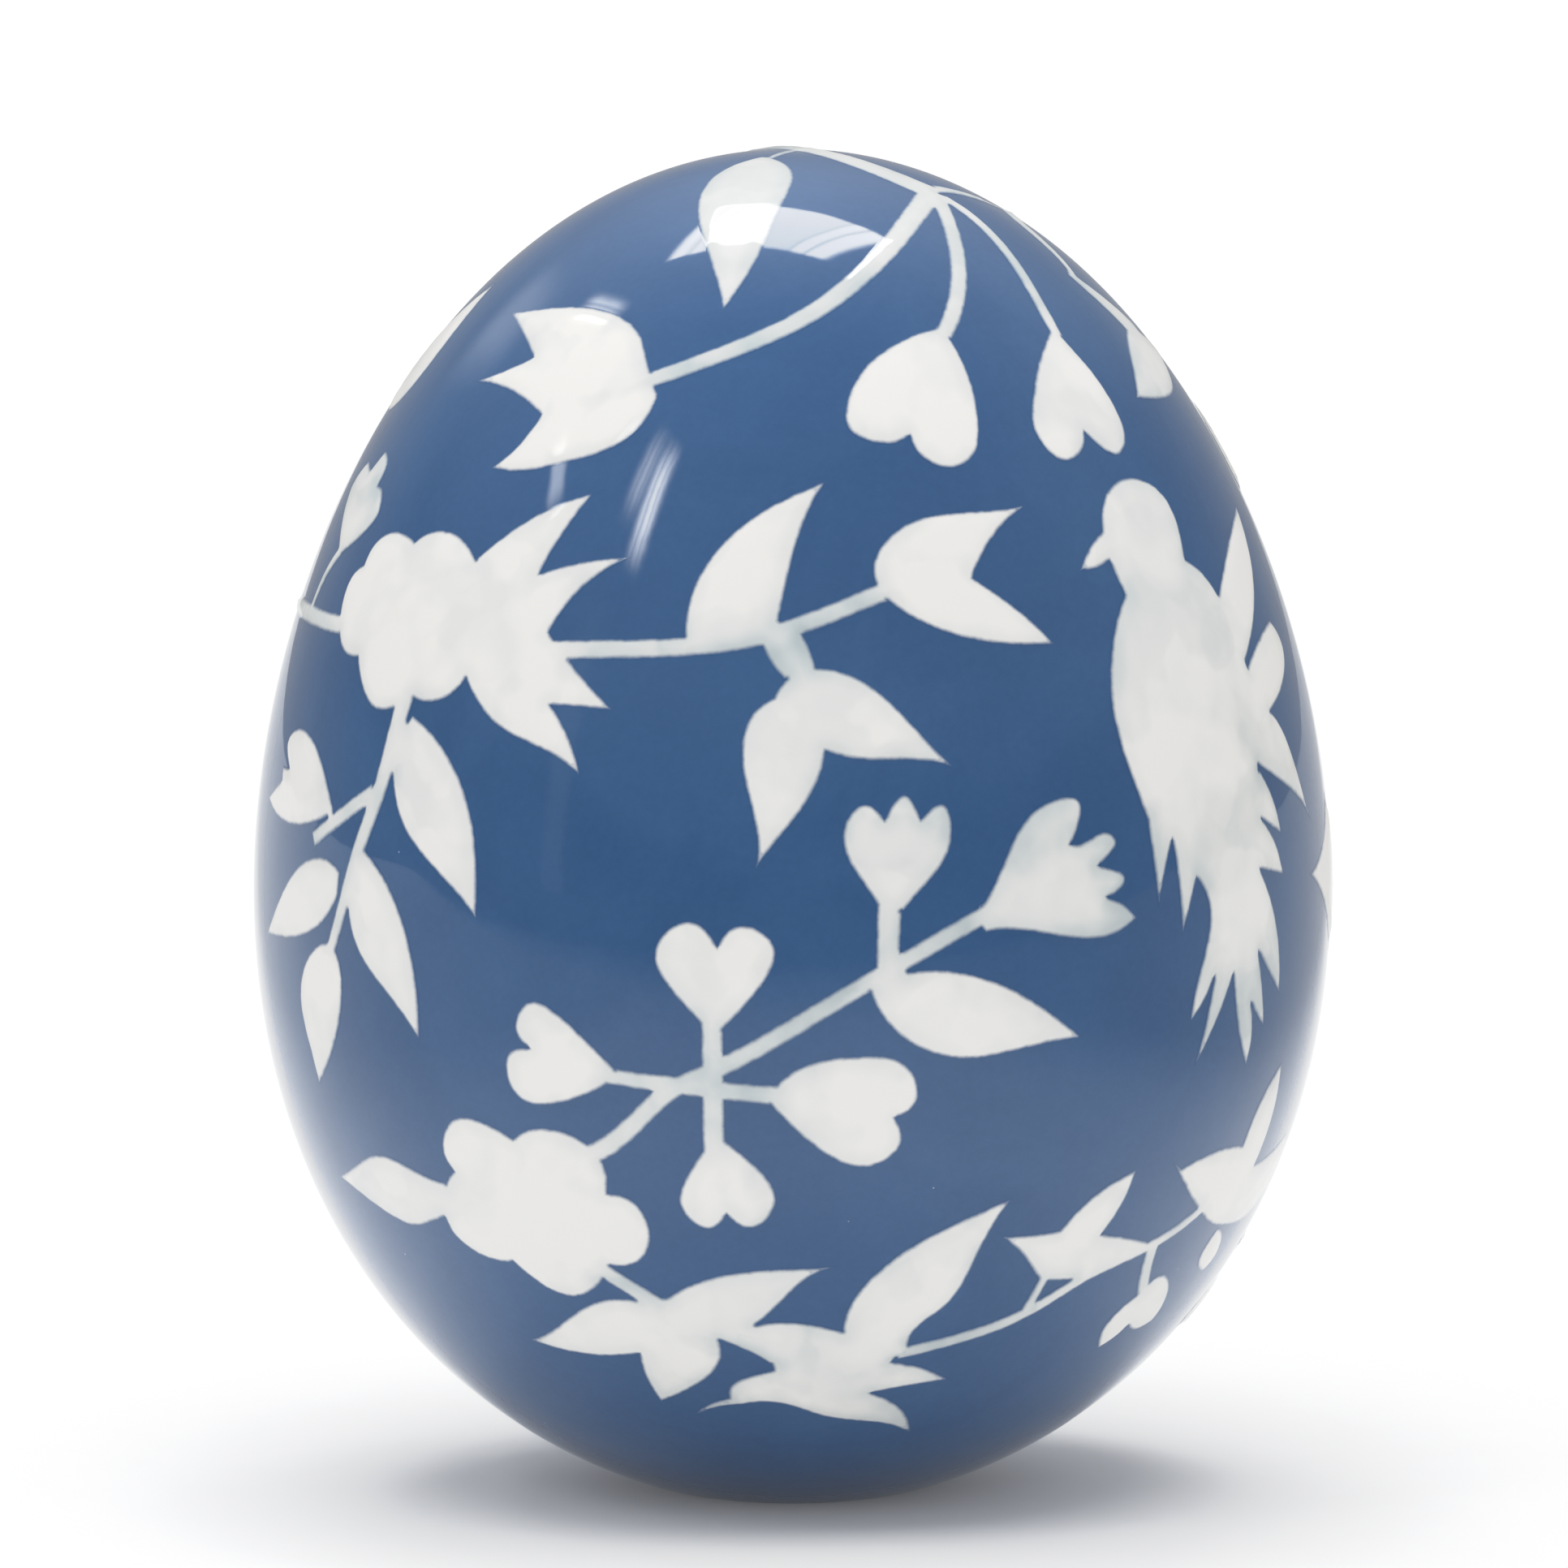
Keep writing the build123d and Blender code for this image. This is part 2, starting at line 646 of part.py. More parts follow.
# Back of the crown: two hearts and a leaf hang from the branch that comes over the top
with BuildPart() as back_crown_hearts:
    for azimuth, height, turn in [(186, 129, 180), (228, 132, 165)]:
        with BuildSketch(surface_plane(azimuth, height, turn)):
            heart(15, 14)
    raise_slip()

with BuildPart() as back_crown_leaf:
    with BuildSketch(surface_plane(156, 131, turn=172)):
        leaf(20, 9, bend=-2)
    raise_slip()

with BuildPart() as back_crown_stems:
    with BuildSketch(surface_plane(186, 140)):
        stroke([(1, 23), (2, 10), (0, -17)], STEM)
        stroke([(1, 22), (15, 13), (25, -5)], STEM, 1.6)
        stroke([(1, 22), (-10, 12), (-19, -10)], STEM, 1.6)
    raise_slip(crown_branch, back_crown_hearts, back_crown_leaf)

# Right of the back: a second bird, with a sprig of leaves above it
with BuildPart() as back_bird:
    with BuildSketch(surface_plane(128, 62, turn=12)):
        outline(
            [(-9, 20), (-6, 23), (-2, 22)],
            [(1, 18), (6, 8), (8, -4)],
            [(12, -18)],
            [(6, -12)],
            [(5, -24)],
            [(1, -13)],
            [(-3, -22), (-4, -10), (-6.5, 2), (-7, 14)],
            [(-8, 18)],
            [(-12.5, 16.5), (-11, 19)],
        )
        outline(
            [(1, 10), (8, 15)],
            [(18, 13), (12, 8)],
            [(17, 3), (8, 2)],
            [(3, 0)],
        )
    raise_slip()

with BuildPart() as back_sprig:
    with BuildSketch(surface_plane(118, 104)):
        stroke([(-12, -10), (-3, -6), (5, 0), (12, 10)], 1.8, 1.2)
    for azimuth, height, turn in [(108, 99, 60), (116, 100, -75), (122, 104, 40), (128, 110, -35)]:
        with BuildSketch(surface_plane(azimuth, height, turn)):
            leaf(14, 7, bend=2)
    raise_slip()

# Lower back: hearts about a crossing, and the garland that closes the ring round the wide end
with BuildPart() as back_hearts:
    for turn in range(20, 380, 90):
        with BuildSketch(surface_plane(192, 56, turn)):
            heart(12, 12, start=8)
    raise_slip()

with BuildPart() as back_wheel:
    for turn in (20, 110):
        with BuildSketch(surface_plane(192, 56, turn)):
            stroke([(0, -9), (0, 9)])
    raise_slip(back_hearts)

with BuildPart() as back_garland_blossom:
    with BuildSketch(surface_plane(246, 46)):
        blossom(12)
    raise_slip()

with BuildPart() as back_garland_leaves:
    for azimuth in range(100, 280, 36):
        for shift, height, turn in [(6, 30, 50), (-9, 24, 130)]:
            with BuildSketch(surface_plane(azimuth + shift, height, turn)):
                leaf(13, 7, bend=2)
    raise_slip(back_garland_blossom)

with BuildPart() as back_garland_stem:
    for azimuth in range(100, 280, 36):
        with BuildSketch(surface_plane(azimuth, 27)):
            stroke([(-16, 0), (-8, 1.5), (0, 0), (8, -1.5), (16, 0)], 1.8)
    raise_slip(back_garland_leaves, back_garland_blossom)

pieces = {
    "egg_body": egg_body,
    "crown_petal": crown_petal,
    "crown_tulip": crown_tulip,
    "crown_heart": crown_heart,
    "side_heart": side_heart,
    "crown_branch": crown_branch,
    "shoulder_twig": shoulder_twig,
    "shoulder_sprig": shoulder_sprig,
    "shoulder_leaf": shoulder_leaf,
    "rose": rose,
    "rose_tulip": rose_tulip,
    "rose_leaf": rose_leaf,
    "swallow_leaf": swallow_leaf,
    "double_leaf": double_leaf,
    "rose_stem": rose_stem,
    "rose_bud": rose_bud,
    "rose_twig": rose_twig,
    "trail_leaf_upper": trail_leaf_upper,
    "trail_leaf_lower": trail_leaf_lower,
    "trail_leaf_end": trail_leaf_end,
    "trail_leaf_side": trail_leaf_side,
    "trail_bud": trail_bud,
    "trail_stem": trail_stem,
    "bird_body": bird_body,
    "bird_tail": bird_tail,
    "bird_feather_high": bird_feather_high,
    "bird_feather_middle": bird_feather_middle,
    "bird_feather_low": bird_feather_low,
    "edge_star": edge_star,
    "heart_up": heart_up,
    "heart_down": heart_down,
    "heart_left": heart_left,
    "heart_right": heart_right,
    "tulip_up": tulip_up,
    "tulip_right": tulip_right,
    "wheel_leaf": wheel_leaf,
    "wheel_stems": wheel_stems,
    "lower_blossom": lower_blossom,
    "lower_leaf": lower_leaf,
    "trefoil": trefoil,
    "garland_leaf": garland_leaf,
    "garland_bird": garland_bird,
    "star_leaf": star_leaf,
    "hanging_leaves": hanging_leaves,
    "garland_tulip": garland_tulip,
    "garland_stem": garland_stem,
    "back_blossom": back_blossom,
    "back_tulip": back_tulip,
    "back_leaves": back_leaves,
    "back_branch": back_branch,
    "back_crown_hearts": back_crown_hearts,
    "back_crown_leaf": back_crown_leaf,
    "back_crown_stems": back_crown_stems,
    "back_bird": back_bird,
    "back_sprig": back_sprig,
    "back_hearts": back_hearts,
    "back_wheel": back_wheel,
    "back_garland_blossom": back_garland_blossom,
    "back_garland_leaves": back_garland_leaves,
    "back_garland_stem": back_garland_stem,
}

os.makedirs("parts", exist_ok=True)
for name, piece in pieces.items():
    piece.part.label = name
    export_step(piece.part, f"parts/{name}.step")
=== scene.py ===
import bmesh
import bpy
import numpy as np
from mathutils import Matrix, Vector, noise
from mathutils.geometry import delaunay_2d_cdt
from mathutils.kdtree import KDTree


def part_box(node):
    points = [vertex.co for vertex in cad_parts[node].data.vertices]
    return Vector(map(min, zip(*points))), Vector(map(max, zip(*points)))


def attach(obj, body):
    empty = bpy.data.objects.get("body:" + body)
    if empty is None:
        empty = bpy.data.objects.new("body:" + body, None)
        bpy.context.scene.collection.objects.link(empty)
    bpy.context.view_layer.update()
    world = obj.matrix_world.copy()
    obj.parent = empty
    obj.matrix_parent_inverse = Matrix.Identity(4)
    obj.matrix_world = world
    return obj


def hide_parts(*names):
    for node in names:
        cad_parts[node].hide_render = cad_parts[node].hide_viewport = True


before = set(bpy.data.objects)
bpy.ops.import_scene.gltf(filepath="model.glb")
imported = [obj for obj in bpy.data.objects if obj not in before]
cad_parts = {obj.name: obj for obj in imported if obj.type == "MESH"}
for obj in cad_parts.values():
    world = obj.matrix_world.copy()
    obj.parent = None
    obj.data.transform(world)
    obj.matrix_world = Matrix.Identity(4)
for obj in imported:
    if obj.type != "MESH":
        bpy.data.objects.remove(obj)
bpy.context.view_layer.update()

# The looks of a decorated porcelain egg. The body becomes one smooth glazed shell. Each slip motif
# is rebuilt over its CAD outline as a soft pad that thins out at its rim, under the same clear
# glaze. Metres, in the CAD model's frame: +Z up, the front faces -Y.

MM = 0.001

# The body, with the CAD model's curve: an ellipse whose radius changes from crown to foot.
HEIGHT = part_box("egg_body")[1].z
UNDERCUT = 2 * MM  # how far the curve would run on below the flat foot
GIRTH = (60 * MM, -5.4 * MM, 0.85 * MM, 2.0 * MM)  # radius, in powers of its angle's cosine
WALL = 4 * MM
VENT_RADIUS = 2.5 * MM
HALF_HEIGHT = (HEIGHT + UNDERCUT) / 2
MIDDLE = HEIGHT - HALF_HEIGHT
FOOT_ANGLE = np.arccos(-MIDDLE / HALF_HEIGHT)

# The slip
CAD_RELIEF = 0.4 * MM  # how far the CAD motifs' outer faces stand off the body
WELD = 0.002 * MM
RELIEF = 0.3 * MM  # height in the middle of a stroke
RIM_LIFT = 0.01 * MM  # height at its rim
ROOT_DEPTH = 0.3 * MM  # how far it reaches into the body
SHOULDER = 1.4 * MM  # width over which it rises from the rim
LEVELLING = 0.65  # how much the glaze evens out the relief's slopes
RIM_STEP = 0.35 * MM  # spacing of points along a rim
FINE = 4  # parts of a step between the points that distances are measured to
ROWS = (0.14 * MM, 0.36 * MM, 0.7 * MM)  # rows of points inside a rim
CLEARANCE = 0.85  # share of its depth that a row's point keeps from every rim
GRID_STEP = 0.62 * MM  # spacing of the points further in
LINE_SPACING = 0.866  # between the grid's lines, in steps, for even triangles
JOIN_REACH = 0.13 * MM  # rims nearer than this to another motif are joins
LAP = 0.25 * MM  # how far joined motifs run over each other
LAP_DROP = 0.03 * MM  # how much lower the lapped edge lies
CORNER = np.radians(32)  # sharper turns of a rim are kept as corners
WOBBLE = 0.055 * MM  # unevenness of a painted rim
SLOW_WOBBLE = 600  # its slow and quick waves, per metre
QUICK_WOBBLE = 2300
BLEND = 2.6 * MM  # how far the slip of joined motifs runs into each other

# How thickly some motifs are painted, from 0, a thin wash, to 1, a full brush. The others have 1.
LOADS = {
    "wheel_stems": 0.12, "rose_stem": 0.15, "garland_stem": 0.2, "crown_branch": 0.18,
    "trail_stem": 0.15, "rose_twig": 0.15, "shoulder_twig": 0.3, "back_branch": 0.2,
    "back_crown_stems": 0.2, "back_wheel": 0.15, "back_garland_stem": 0.2, "tulip_right": 0.3,
    "tulip_up": 0.45, "bird_body": 0.65, "bird_tail": 0.5, "garland_bird": 0.65,
    "crown_petal": 0.5, "rose_bud": 0.4, "back_bird": 0.7,
}


def egg(angle):
    """Radius, height and outward normal of the egg's curve, at an angle counted from the crown."""
    along = np.cos(angle)
    girth = np.polyval(GIRTH[::-1], along)
    slope = np.polyval(np.polyder(GIRTH[::-1]), along)
    run = along * girth - np.sin(angle) ** 2 * slope
    rise = -HALF_HEIGHT * np.sin(angle)
    length = np.hypot(run, rise)
    return np.sin(angle) * girth, MIDDLE + HALF_HEIGHT * along, -rise / length, run / length


CENTRE = np.array((0, 0, MIDDLE))
ANGLES = np.linspace(0, np.pi, 4000)
FROM_CROWN = np.arctan2(egg(ANGLES)[0], egg(ANGLES)[1] - MIDDLE)


def surface(directions):
    """The egg's points and outward normals in these unit directions from its centre."""
    flat = np.hypot(directions[:, 0], directions[:, 1])
    angle = np.interp(np.arctan2(flat, directions[:, 2]), FROM_CROWN, ANGLES)
    radius, height, out, up = egg(angle)
    side = directions[:, :2] / np.maximum(flat, 1e-12)[:, None]
    points = np.column_stack((side * radius[:, None], height))
    normals = np.column_stack((side * out[:, None], up))
    return points, normals


def unit(vectors):
    return vectors / np.linalg.norm(vectors, axis=-1, keepdims=True)


class Chart:
    """A stereographic map of the egg around one direction, to triangulate a motif in."""

    SIZE = 65 * MM

    def __init__(self, toward):
        self.axis = unit(toward)
        across = (0, 1, 0) if abs(self.axis[2]) > 0.9 else (0, 0, 1)
        self.right = unit(np.cross(across, self.axis))
        self.up = np.cross(self.axis, self.right)

    def flatten(self, points):
        away = unit(points - CENTRE)
        scale = 2 * self.SIZE / (1 + away @ self.axis)
        return np.column_stack((away @ self.right, away @ self.up)) * scale[:, None]

    def surface(self, flat):
        """The egg's points and outward normals at these places on the map."""
        spot = flat / (2 * self.SIZE)
        square = (spot**2).sum(1)[:, None]
        away = 2 * spot[:, :1] * self.right + 2 * spot[:, 1:] * self.up + (1 - square) * self.axis
        return surface(unit(away))


def welded(node):
    """A CAD node's points and triangles, with the faces' shared edges joined."""
    shell = bmesh.new()
    shell.from_mesh(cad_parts[node].data)
    bmesh.ops.remove_doubles(shell, verts=shell.verts, dist=WELD)
    bmesh.ops.triangulate(shell, faces=shell.faces)
    points = np.array([tuple(vert.co) for vert in shell.verts])
    triangles = np.array([[vert.index for vert in face.verts] for face in shell.faces])
    shell.free()
    return points, triangles


def outer_loops(node):
    """The rims of a CAD motif's outer face, as closed loops of points brought down to the body."""
    points, triangles = welded(node)
    away = points - CENTRE
    ground, _ = surface(unit(away))
    lift = np.linalg.norm(away, axis=1) - np.linalg.norm(ground - CENTRE, axis=1)
    outer = triangles[(lift[triangles] > CAD_RELIEF / 2).all(1)]
    following = {}
    sides = (
        {(a, b) for a, b, c in outer}
        | {(b, c) for a, b, c in outer}
        | {(c, a) for a, b, c in outer}
    )
    for a, b in sides:
        if (b, a) not in sides:
            following.setdefault(a, []).append(b)
    loops = []
    while following:
        start = at = next(iter(following))
        loop = []
        while at in following:
            loop.append(at)
            onward = following[at].pop()
            if not following[at]:
                del following[at]
            at = onward
        if at == start and len(loop) > 2:
            loops.append(ground[loop])
    return loops


def resample(loop):
    """The same closed line with even steps between its corners."""
    ahead = unit(np.roll(loop, -1, 0) - loop)
    turn = np.arccos(np.clip((ahead * np.roll(ahead, 1, 0)).sum(1), -1, 1))
    corners = np.flatnonzero(turn > CORNER)
    if len(corners) == 0:
        corners = np.array((0,))
    closed = np.vstack((np.roll(loop, -corners[0], 0), loop[corners[0]]))
    stops = list(corners - corners[0]) + [len(loop)]
    reach = np.concatenate(((0,), np.cumsum(np.linalg.norm(np.diff(closed, axis=0), axis=1))))
    places, firm = [], []
    for start, stop in zip(stops, stops[1:]):
        span = reach[stop] - reach[start]
        count = max(1, round(span / RIM_STEP))
        places.extend(reach[start] + span * np.arange(count) / count)
        firm.extend([True] + [False] * (count - 1))
    even = np.column_stack([np.interp(places, reach, closed[:, axis]) for axis in range(3)])
    return even, np.array(firm)


def tree_of(points):
    tree = KDTree(len(points))
    for index, point in enumerate(points):
        tree.insert(point, index)
    tree.balance()
    return tree


def between(loop, parts):
    """Points along a closed line, with each of its steps cut into parts."""
    following = np.roll(loop, -1, 0)
    return np.vstack([loop + (following - loop) * part / parts for part in range(parts)])


def left_of(flat):
    """Unit vectors to the left of a closed line's travel at each of its points."""
    travel = unit(np.roll(flat, -1, 0) - np.roll(flat, 1, 0))
    return np.column_stack((-travel[:, 1], travel[:, 0]))


def inside(spots, loops):
    """Which spots lie inside the closed flat loops, by counting crossings to their right."""
    crossings = np.zeros(len(spots), int)
    x, y = spots[:, :1], spots[:, 1:]
    for loop in loops:
        a, b = loop, np.roll(loop, -1, 0)
        rise = np.where(b[:, 1] == a[:, 1], 1e-15, b[:, 1] - a[:, 1])
        meets = (a[:, 1] > y) != (b[:, 1] > y)
        crossings += (meets & (x < a[:, 0] + (y - a[:, 1]) * (b[:, 0] - a[:, 0]) / rise)).sum(1)
    return crossings % 2 == 1


class Motif:
    """One slip motif: its chart, its painted rims and where they join other motifs."""

    def __init__(self, node):
        self.node = node
        self.load = LOADS.get(node, 1.0)
        rims = outer_loops(node)
        self.chart = Chart(np.vstack(rims).mean(0) - CENTRE)
        self.rims = [resample(rim) for rim in rims]

    def neighbour(self, point, others, owners):
        """Another motif whose rim passes close to this point, if there is one."""
        near = (owners[index] for _, index, _ in others.find_range(point, JOIN_REACH))
        return next((motif for motif in near if motif is not self), None)

    def find_joins(self, others, owners):
        """Note where the rims meet other motifs, and make the free stretches a little uneven."""
        self.flat, self.joined, self.meets = [], [], []
        for rim, firm in self.rims:
            near = [self.neighbour(point, others, owners) for point in rim]
            self.meets += [(point, other.load) for point, other in zip(rim, near) if other]
            joined = np.array([other is not None for other in near])
            flat = self.chart.flatten(rim)
            painted = np.array([unevenness(point) for point in rim])
            painted[firm | joined] = 0
            flat = flat + left_of(flat) * painted[:, None]
            self.flat.append(flat)
            self.joined.append(joined)

    def free_rim(self):
        """Points along the stretches of rim that meet the blue ground."""
        found = []
        for flat, joined in zip(self.flat, self.joined):
            fine = between(flat, FINE)
            free = ~np.tile(joined & np.roll(joined, -1), FINE)
            found.append(self.chart.surface(fine[free])[0])
        return np.vstack(found)

    def loads(self, points):
        """How thickly the slip lies at these points, evened out towards joined motifs."""
        if not self.meets:
            return np.full(len(points), self.load)
        tree = tree_of([point for point, _ in self.meets])
        found = [tree.find(point) for point in points]
        other = np.array([self.meets[index][1] for _, index, _ in found])
        share = 0.5 * np.clip(1 - np.array([distance for *_, distance in found]) / BLEND, 0, 1)
        return self.load * (1 - share) + other * share


def unevenness(point):
    """How far a hand painted rim strays outward here."""
    place = Vector(point)
    slow = noise.noise(place * SLOW_WOBBLE)
    quick = noise.noise(place * QUICK_WOBBLE + Vector((7, 3, 5)))
    return WOBBLE * (slow + 0.3 * quick)


def triangulate(motif):
    """A motif's flat points and triangles: rows along its rims and an even grid further in."""
    rims, fixed = [], []
    for flat, joined in zip(motif.flat, motif.joined):
        middle = joined & np.roll(joined, 1) & np.roll(joined, -1)
        outward = -left_of(flat)
        rims.append(flat + outward * np.where(middle, LAP, 0)[:, None])
        fixed.append(flat[middle])
    all_rims = np.vstack([between(rim, 2) for rim in rims])
    rim_tree = tree_of([(x, y, 0) for x, y in all_rims])
    rows = []
    for flat in motif.flat:
        for depth in ROWS:
            rows.append(flat + left_of(flat) * depth)
    rows = np.vstack(rows)
    depths = np.concatenate([np.full(len(flat), depth) for flat in motif.flat for depth in ROWS])
    clear = np.array([rim_tree.find((x, y, 0))[2] for x, y in rows])
    rows = rows[clear > CLEARANCE * depths]
    low, high = all_rims.min(0), all_rims.max(0)
    columns = np.arange(low[0], high[0], GRID_STEP)
    lines = np.arange(low[1], high[1], GRID_STEP * LINE_SPACING)
    shifts = [GRID_STEP / 2 * (row % 2) for row in range(len(lines))]
    grid = np.array([(x + shift, y) for shift, y in zip(shifts, lines) for x in columns])
    grid = grid[inside(grid, rims)]
    far = np.array([rim_tree.find((x, y, 0))[2] for x, y in grid]) > ROWS[-1] + GRID_STEP / 2
    spots = np.vstack([*rims, *fixed, rows, grid[far]])
    sides, start = [], 0
    for rim in rims:
        sides += [(start + i, start + (i + 1) % len(rim)) for i in range(len(rim))]
        start += len(rim)
    flat, _, faces, *_ = delaunay_2d_cdt([Vector(spot / MM) for spot in spots], sides, [], 0, 1e-4)
    flat = np.array([tuple(spot) for spot in flat]) * MM
    faces = np.array(faces)
    return flat, faces[inside(flat[faces].mean(1), rims)]


def slip_mesh(motif, free_tree):
    """The motif's closed mesh, with how far each point lies from the free rim, in millimetres."""
    flat, faces = triangulate(motif)
    ground, normals = motif.chart.surface(flat)
    inset = np.array([free_tree.find(point)[2] for point in ground])
    rise = np.clip(inset / SHOULDER, 0, 1)
    lift = RIM_LIFT + RELIEF * rise**2 * (3 - 2 * rise)
    edges = np.concatenate([faces[:, (0, 1)], faces[:, (1, 2)], faces[:, (2, 0)]])
    known = {tuple(edge) for edge in edges}
    skirt = [(a, b) for a, b in known if (b, a) not in known]
    lap = np.zeros(len(flat), bool)
    lap[[a for a, b in skirt]] = True
    lift = np.where(lap & (inset > LAP), lift - LAP_DROP, lift)
    count = len(flat)
    top = ground + normals * lift[:, None]
    root = ground - normals * ROOT_DEPTH
    walls = [(b, a, a + count, b + count) for a, b in skirt]
    polygons = [tuple(face) for face in faces]
    polygons += [tuple(face[::-1] + count) for face in faces] + walls
    mesh = bpy.data.meshes.new("slip_" + motif.node)
    mesh.from_pydata(np.vstack((top, root)).tolist(), [], polygons)
    mesh.shade_smooth()
    sharp = mesh.attributes.new("sharp_edge", "BOOLEAN", "EDGE")
    pairs = np.zeros(len(mesh.edges) * 2, np.int32)
    mesh.edges.foreach_get("vertices", pairs)
    rim = {frozenset(pair) for pair in skirt}
    pairs = pairs.reshape(-1, 2).tolist()
    sharp.data.foreach_set("value", [frozenset(pair) in rim for pair in pairs])
    level_normals(mesh, normals, count)
    value = mesh.attributes.new("inset", "FLOAT", "POINT")
    value.data.foreach_set("value", np.concatenate((inset, inset)) / MM)
    value = mesh.attributes.new("load", "FLOAT", "POINT")
    value.data.foreach_set("value", np.tile(motif.loads(ground), 2))
    return mesh


def level_normals(mesh, ground, count):
    """Shade the top between its own slopes and the smooth egg's, as a glaze that has levelled."""
    own = np.zeros(len(mesh.corner_normals) * 3, np.float32)
    mesh.corner_normals.foreach_get("vector", own)
    own = own.reshape(-1, 3)
    corner = np.zeros(len(mesh.loops), np.int32)
    mesh.loops.foreach_get("vertex_index", corner)
    both = np.vstack((ground, -ground))[corner]
    top = (own * both).sum(1) > 0.5
    mixed = unit(own * (1 - LEVELLING) + both * LEVELLING)
    mixed[~top | (corner >= count)] = own[~top | (corner >= count)]
    mesh.normals_split_custom_set(mixed.tolist())


def add_object(name, mesh, material, slot, *nodes):
    piece = bpy.data.objects.new(name, mesh)
    bpy.context.scene.collection.objects.link(piece)
    mesh.materials.append(material)
    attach(piece, "root")
    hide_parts(*nodes)
    return piece


# The body's mesh

ROUND_STEPS = 320
CURVE_STEPS = 220
CAVITY_STEPS = 30
EDGE_ROUND = 0.3 * MM


def body_profile():
    """Radius and height down the outside, across the foot, up the vent and over the cavity."""
    radius, height, _, _ = egg(np.linspace(0, FOOT_ANGLE, CURVE_STEPS + 1)[1:])
    outside = list(zip(radius, height))
    foot_radius = outside.pop()[0]
    arc = np.radians((10, 35, 60, 90))
    heel = [
        (foot_radius - EDGE_ROUND * (1 - np.cos(a)), EDGE_ROUND * (1 - np.sin(a))) for a in arc
    ]
    lip = VENT_RADIUS + EDGE_ROUND
    vent = [(lip - EDGE_ROUND * np.cos(a), EDGE_ROUND * (1 - np.sin(a))) for a in arc[::-1]]
    throat = [(radius, WALL - height) for radius, height in vent[::-1]]
    radius, height, out, up = egg(np.linspace(FOOT_ANGLE, 0, CAVITY_STEPS + 1)[:-1])
    cavity = list(zip(radius - WALL * out, height - WALL * up))
    floor = [((lip * (3 - i) + cavity[0][0] * i) / 3, WALL) for i in (1, 2)]
    sole = [((foot_radius * (4 - i) + lip * i) / 4, 0) for i in (1, 2, 3)]
    return outside + heel + sole + vent + throat + floor + cavity, len(outside + heel)


def body_mesh():
    profile, glazed_rows = body_profile()
    turn = np.linspace(0, 2 * np.pi, ROUND_STEPS, endpoint=False)
    points = [(0, 0, HEIGHT)]
    for radius, height in profile:
        points += [(radius * np.cos(a), radius * np.sin(a), height) for a in turn]
    points.append((0, 0, HEIGHT - WALL))
    polygons, bare = [], []
    for step in range(ROUND_STEPS):
        onward = (step + 1) % ROUND_STEPS
        polygons.append((0, 1 + step, 1 + onward))
        bare.append(False)
        for row in range(len(profile) - 1):
            top = 1 + row * ROUND_STEPS
            low = top + ROUND_STEPS
            polygons.append((top + step, low + step, low + onward, top + onward))
            bare.append(row >= glazed_rows - 1)
        last = 1 + (len(profile) - 1) * ROUND_STEPS
        polygons.append((len(points) - 1, last + onward, last + step))
        bare.append(True)
    mesh = bpy.data.meshes.new("porcelain_body")
    mesh.from_pydata(points, [], polygons)
    mesh.shade_smooth()
    return mesh, bare


# Materials


def linear(red, green, blue):
    """An sRGB colour, 0 to 255, as the linear RGBA that the shaders take."""
    return tuple(((c / 255 + 0.055) / 1.055) ** 2.4 for c in (red, green, blue)) + (1,)


COBALT = (0.010, 0.060, 0.168, 1)
COBALT_WASH = (0.022, 0.085, 0.210, 1)
THICK_SLIP = (0.85, 0.835, 0.795, 1)
THIN_SLIP = (0.385, 0.445, 0.47, 1)


class Nodes:
    """A node tree with short ways to add and join the nodes used here."""

    def __init__(self, tree):
        self.tree = tree

    def add(self, kind, inputs=None, **settings):
        node = self.tree.nodes.new(kind)
        for name, value in settings.items():
            setattr(node, name, value)
        for name, value in (inputs or {}).items():
            if isinstance(value, bpy.types.NodeSocket):
                self.tree.links.new(value, node.inputs[name])
            else:
                node.inputs[name].default_value = value
        return node

    def spread(self, value, low, high, start=0.0, end=1.0, smooth=True):
        kind = "SMOOTHSTEP" if smooth else "LINEAR"
        inputs = {"Value": value, "From Min": low, "From Max": high}
        inputs |= {"To Min": start, "To Max": end}
        return self.add("ShaderNodeMapRange", inputs, interpolation_type=kind).outputs["Result"]

    def math(self, operation, *values, clamp=False):
        inputs = dict(enumerate(values))
        node = self.add("ShaderNodeMath", inputs, operation=operation, use_clamp=clamp)
        return node.outputs[0]


